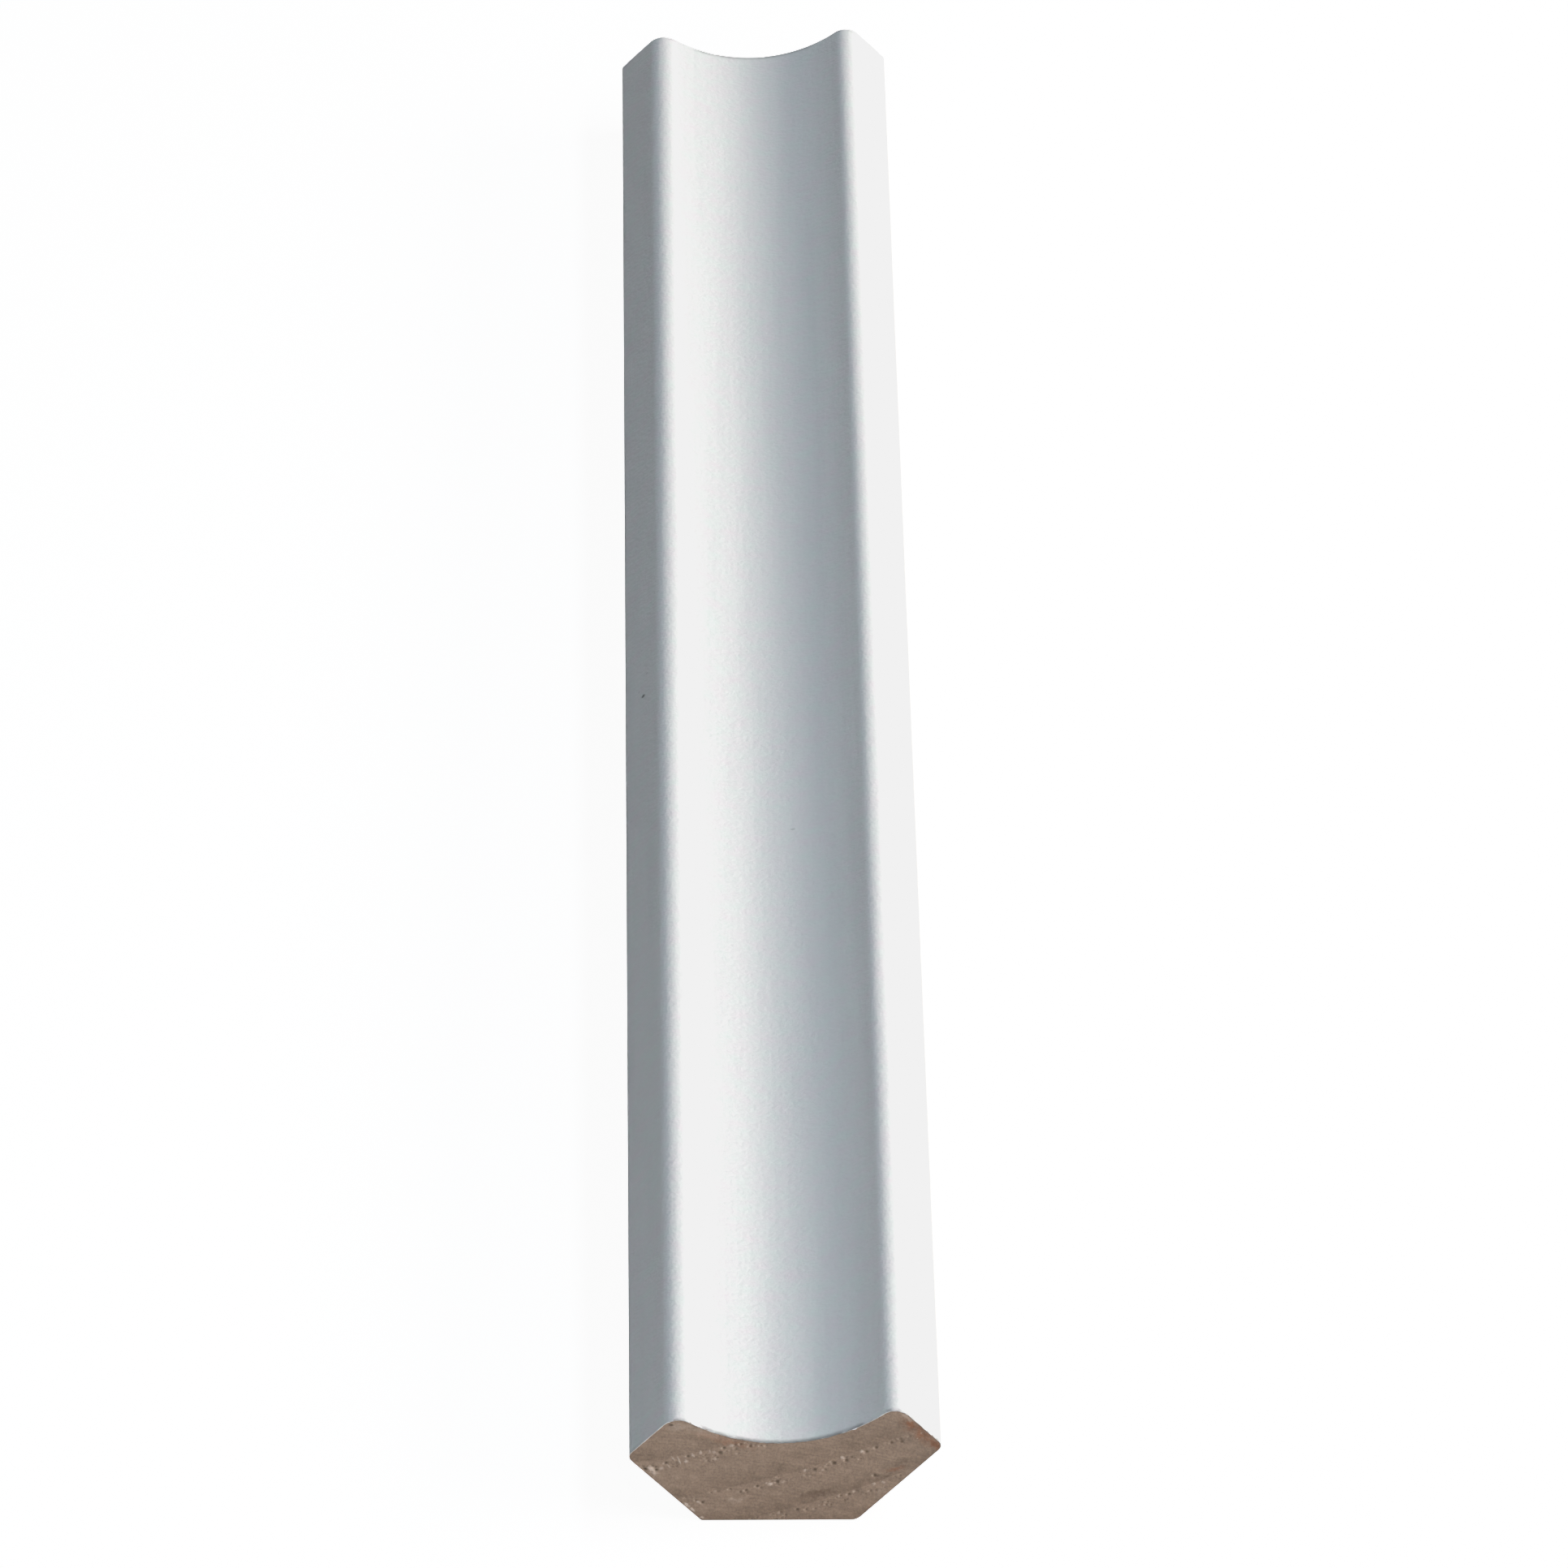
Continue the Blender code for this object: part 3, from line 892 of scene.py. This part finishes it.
def makeCutFinish(wood, primer):
    values = cutValues
    material, tree, shader, place = newFinish("sawnEnd")
    film = useGroup(tree, primer, place)
    bare = useGroup(tree, wood, place)
    inMm = inMillimetres(tree, place)
    x, y, z = separate(tree, inMm)
    onCut = combine(tree, x, z, 0.0)
    nearOnly = calc(tree, "LESS_THAN", y, 0.0)
    belowFilm = noted(tree, "belowFilm")
    patchy = patchNoise(tree, inMm)
    ragged = noise(tree, inMm, values["raggedScale"], detail=3.0)

    # saw marks come up slightly paler and darker than the wood
    scores = sawMarks(tree, place)
    tone = timesPlus(tree, ramp(tree, scores, 0.36, 0.64), 0.16, 0.92)
    # painted shade and broken fibres darken the edge below the film; painted shade darkens the bare rim,
    # which rounds away from the light
    fuzzAndShade = ramp(tree, timesPlus(tree, ragged, 0.30, belowFilm), values["fuzzShadeReach"] + 0.18, 0.10)
    rimShade = ramp(tree, timesPlus(tree, ragged, 0.24, noted(tree, "fromRim")), values["rimShadeReach"] + 0.12, 0.05)
    fuzzAndEdgeShade = times(tree, calc(tree, "MAXIMUM", fuzzAndShade, rimShade), ramp(tree, patchy, 0.36, 0.62))
    tone = times(tree, tone, timesPlus(tree, fuzzAndEdgeShade, -values["fuzzAndEdgeShade"], 1.0))
    sawn = toned(tree, bare["Color"], tone)
    # the pits darkened, partly painted shade
    pits = times(tree, softPatches(tree, onCut, values["darkPits"]), nearOnly)
    sawn = colourBlend(tree, times(tree, pits, values["pitStrength"]), sawn, woodValues["pore"])
    jagged = jostled(tree, onCut, values["splinterScale"], values["splinterReach"])
    chips = times(tree, softPatches(tree, jagged, values["paleChips"], inner=0.1), nearOnly)
    chips = times(tree, chips, timesPlus(tree, ragged, 1.0, 0.45), clamp=True)
    sawn = colourBlend(tree, chips, sawn, values["chipColour"])
    height = timesPlus(tree, scores, values["scoreRelief"], bare["Height"])
    height = timesPlus(tree, pits, -values["pitRelief"], height)
    height = timesPlus(tree, chips, values["chipRelief"], height)
    cutWood = {"Color": sawn, "Height": height}

    # the primer shows as a thin ragged line round the painted edge, missing in places
    thickness = timesPlus(tree, centred(tree, ragged), values["filmRagged"], values["filmThickness"])
    thickness = times(tree, thickness, filmEdgeLeft(tree, inMm, patchy))
    nib = times(tree, softPatches(tree, onCut, [values["filmNib"]]), nearOnly)
    thickness = timesPlus(tree, nib, values["nibThickness"], thickness)
    cover = ramp(tree, calc(tree, "SUBTRACT", belowFilm, thickness), 0.05, -0.03)
    dress(tree, shader, *coverWood(tree, cover, cutWood, film, values["roughness"]))
    return material


# studio

studioValues = {
    "worldColour": (1.0, 1.0, 1.0, 1.0),
    "worldStrength": 0.05,
    "floorColour": (0.93, 0.935, 0.94, 1.0),
    "floorRoughness": 0.9,
    "sweepColour": (1.0, 1.0, 1.0, 1.0),
    "sweepWhite": 1.75,       # how bright the floor and the world look behind the strip
    "floorShadow": 0.15,      # how much of the floor's shading is left to see
    "floorSize": 14.0,
    "floorGap": 0.1 * mm,
}


def cameraRays(tree):
    return tree.nodes.new("ShaderNodeLightPath").outputs["Is Camera Ray"]


def showWhite(tree, kind, seen, lit, output):
    # the camera sees the sweep's white, and the light and the reflections see what is lit
    feeds = {"Color": studioValues["sweepColour"], "Strength": studioValues["sweepWhite"]}
    white = addNode(tree, kind, feeds)
    mix = addNode(tree, "ShaderNodeMixShader", {0: seen, 1: lit.outputs[0], 2: white.outputs[0]})
    tree.links.new(mix.outputs[0], output.inputs["Surface"])


def makeFloor():
    values = studioValues
    side = values["floorSize"] / 2
    corners = [(-side, -side, 0), (side, -side, 0), (side, side, 0), (-side, side, 0)]
    mesh = bpy.data.meshes.new("studioFloor")
    mesh.from_pydata(corners, [], [(0, 1, 2, 3)])
    floor = bpy.data.objects.new("studio_floor", mesh)
    floor.location.z = cadLow.z - values["floorGap"]
    bpy.context.scene.collection.objects.link(floor)
    material = bpy.data.materials.new("paleFloor")
    material.use_nodes = True
    tree = material.node_tree
    shader = tree.nodes["Principled BSDF"]
    shader.inputs["Base Color"].default_value = values["floorColour"]
    shader.inputs["Roughness"].default_value = values["floorRoughness"]
    shader.inputs["Specular IOR Level"].default_value = 0.0
    # lit like paper, but seen as a white sweep with a trace of shadow
    seen = times(tree, cameraRays(tree), 1.0 - values["floorShadow"])
    output = tree.nodes["Material Output"]
    showWhite(tree, "ShaderNodeEmission", seen, shader, output)
    mesh.materials.append(material)


# each softbox: place, the point it faces, length and height, power, colour
lightValues = {
    "lowKey": ((1.492, -0.24, 0.589), (0.0, -0.24, 0.01), (2.2, 0.40), 26.6, (1.132, 1.0, 0.861)),
    "highSide": ((0.848, -0.24, 1.367), (0.0, -0.24, 0.01), (2.2, 0.26), 16.7, (0.885, 1.0, 1.100)),
    "frontFill": ((0.0, -1.60, 0.60), (0.0, 0.0, 0.01), (1.2, 0.40), 7.2, (0.947, 1.0, 1.045)),
    "backFill": ((0.0, 1.60, 0.14), (0.0, 0.2, 0.01), (1.2, 0.16), 1.3, (0.94, 1.0, 1.04)),
}


def makeLights():
    for name, (place, aim, size, power, colour) in lightValues.items():
        light = bpy.data.lights.new(name, "AREA")
        light.shape = "RECTANGLE"
        light.size, light.size_y = size
        light.energy = power
        light.color = colour
        box = bpy.data.objects.new(name, light)
        box.location = place
        box.rotation_euler = (Vector(aim) - Vector(place)).to_track_quat("-Z", "Y").to_euler()
        box.visible_camera = False
        bpy.context.scene.collection.objects.link(box)


def makeWorld():
    values = studioValues
    world = bpy.data.worlds.new("paleStudio")
    world.use_nodes = True
    tree = world.node_tree
    sky = tree.nodes["Background"]
    sky.inputs["Color"].default_value = values["worldColour"]
    sky.inputs["Strength"].default_value = values["worldStrength"]
    showWhite(tree, "ShaderNodeBackground", cameraRays(tree), sky, tree.nodes["World Output"])
    bpy.context.scene.world = world


cameraValues = {
    "place": (-0.02474, -1.99872, 1.09533),
    "tilt": 28.811,           # degrees below the horizon
    "heading": 0.785,         # degrees to the right of +Y
    "roll": 0.196,
    "lens": 329.69,
    "sensorWidth": 36.0,
}


def makeCamera():
    values = cameraValues
    data = bpy.data.cameras.new("photoView")
    data.lens = values["lens"]
    data.sensor_width = values["sensorWidth"]
    data.clip_start, data.clip_end = 0.05, 50.0
    camera = bpy.data.objects.new("photoView", data)
    camera.location = values["place"]
    turn = Euler((math.radians(90.0 - values["tilt"]), 0.0, -math.radians(values["heading"])), "XYZ")
    roll = Euler((0.0, 0.0, math.radians(values["roll"])), "XYZ")
    camera.rotation_euler = (turn.to_matrix() @ roll.to_matrix()).to_euler()
    bpy.context.scene.collection.objects.link(camera)
    bpy.context.scene.camera = camera


# whites on the strip flatten out just short of the sweep's white: (scene brightness, shown brightness)
whiteCurve = [(0.0, 0.0), (0.86, 0.86), (0.90, 0.879), (1.30, 0.879), (1.60, 1.0), (2.0, 1.0)]


def setTones():
    view = bpy.context.scene.view_settings
    view.view_transform = "Standard"
    view.use_curve_mapping = True
    curves = view.curve_mapping
    brightest = whiteCurve[-1][0]
    curves.white_level = (brightest, brightest, brightest)
    allChannels = curves.curves[3]
    for spot, shown in whiteCurve[1:-1]:
        allChannels.points.new(spot / brightest, shown)
    for point in allChannels.points:
        point.handle_type = "VECTOR"
    curves.update()


woodGroup = ringPorousWood()
primerGroup = satinPrimer()
faceFinish = makeFaceFinish(primerGroup)
backFinish = makeBackFinish(woodGroup, primerGroup)
cutFinish = makeCutFinish(woodGroup, primerGroup)
print("finishes ready")

moulding = makeMoulding(faceFinish, backFinish, cutFinish)
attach(moulding, "root")
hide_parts("crown_moulding")

makeFloor()
makeLights()
makeWorld()
makeCamera()
setTones()
print("studio ready")
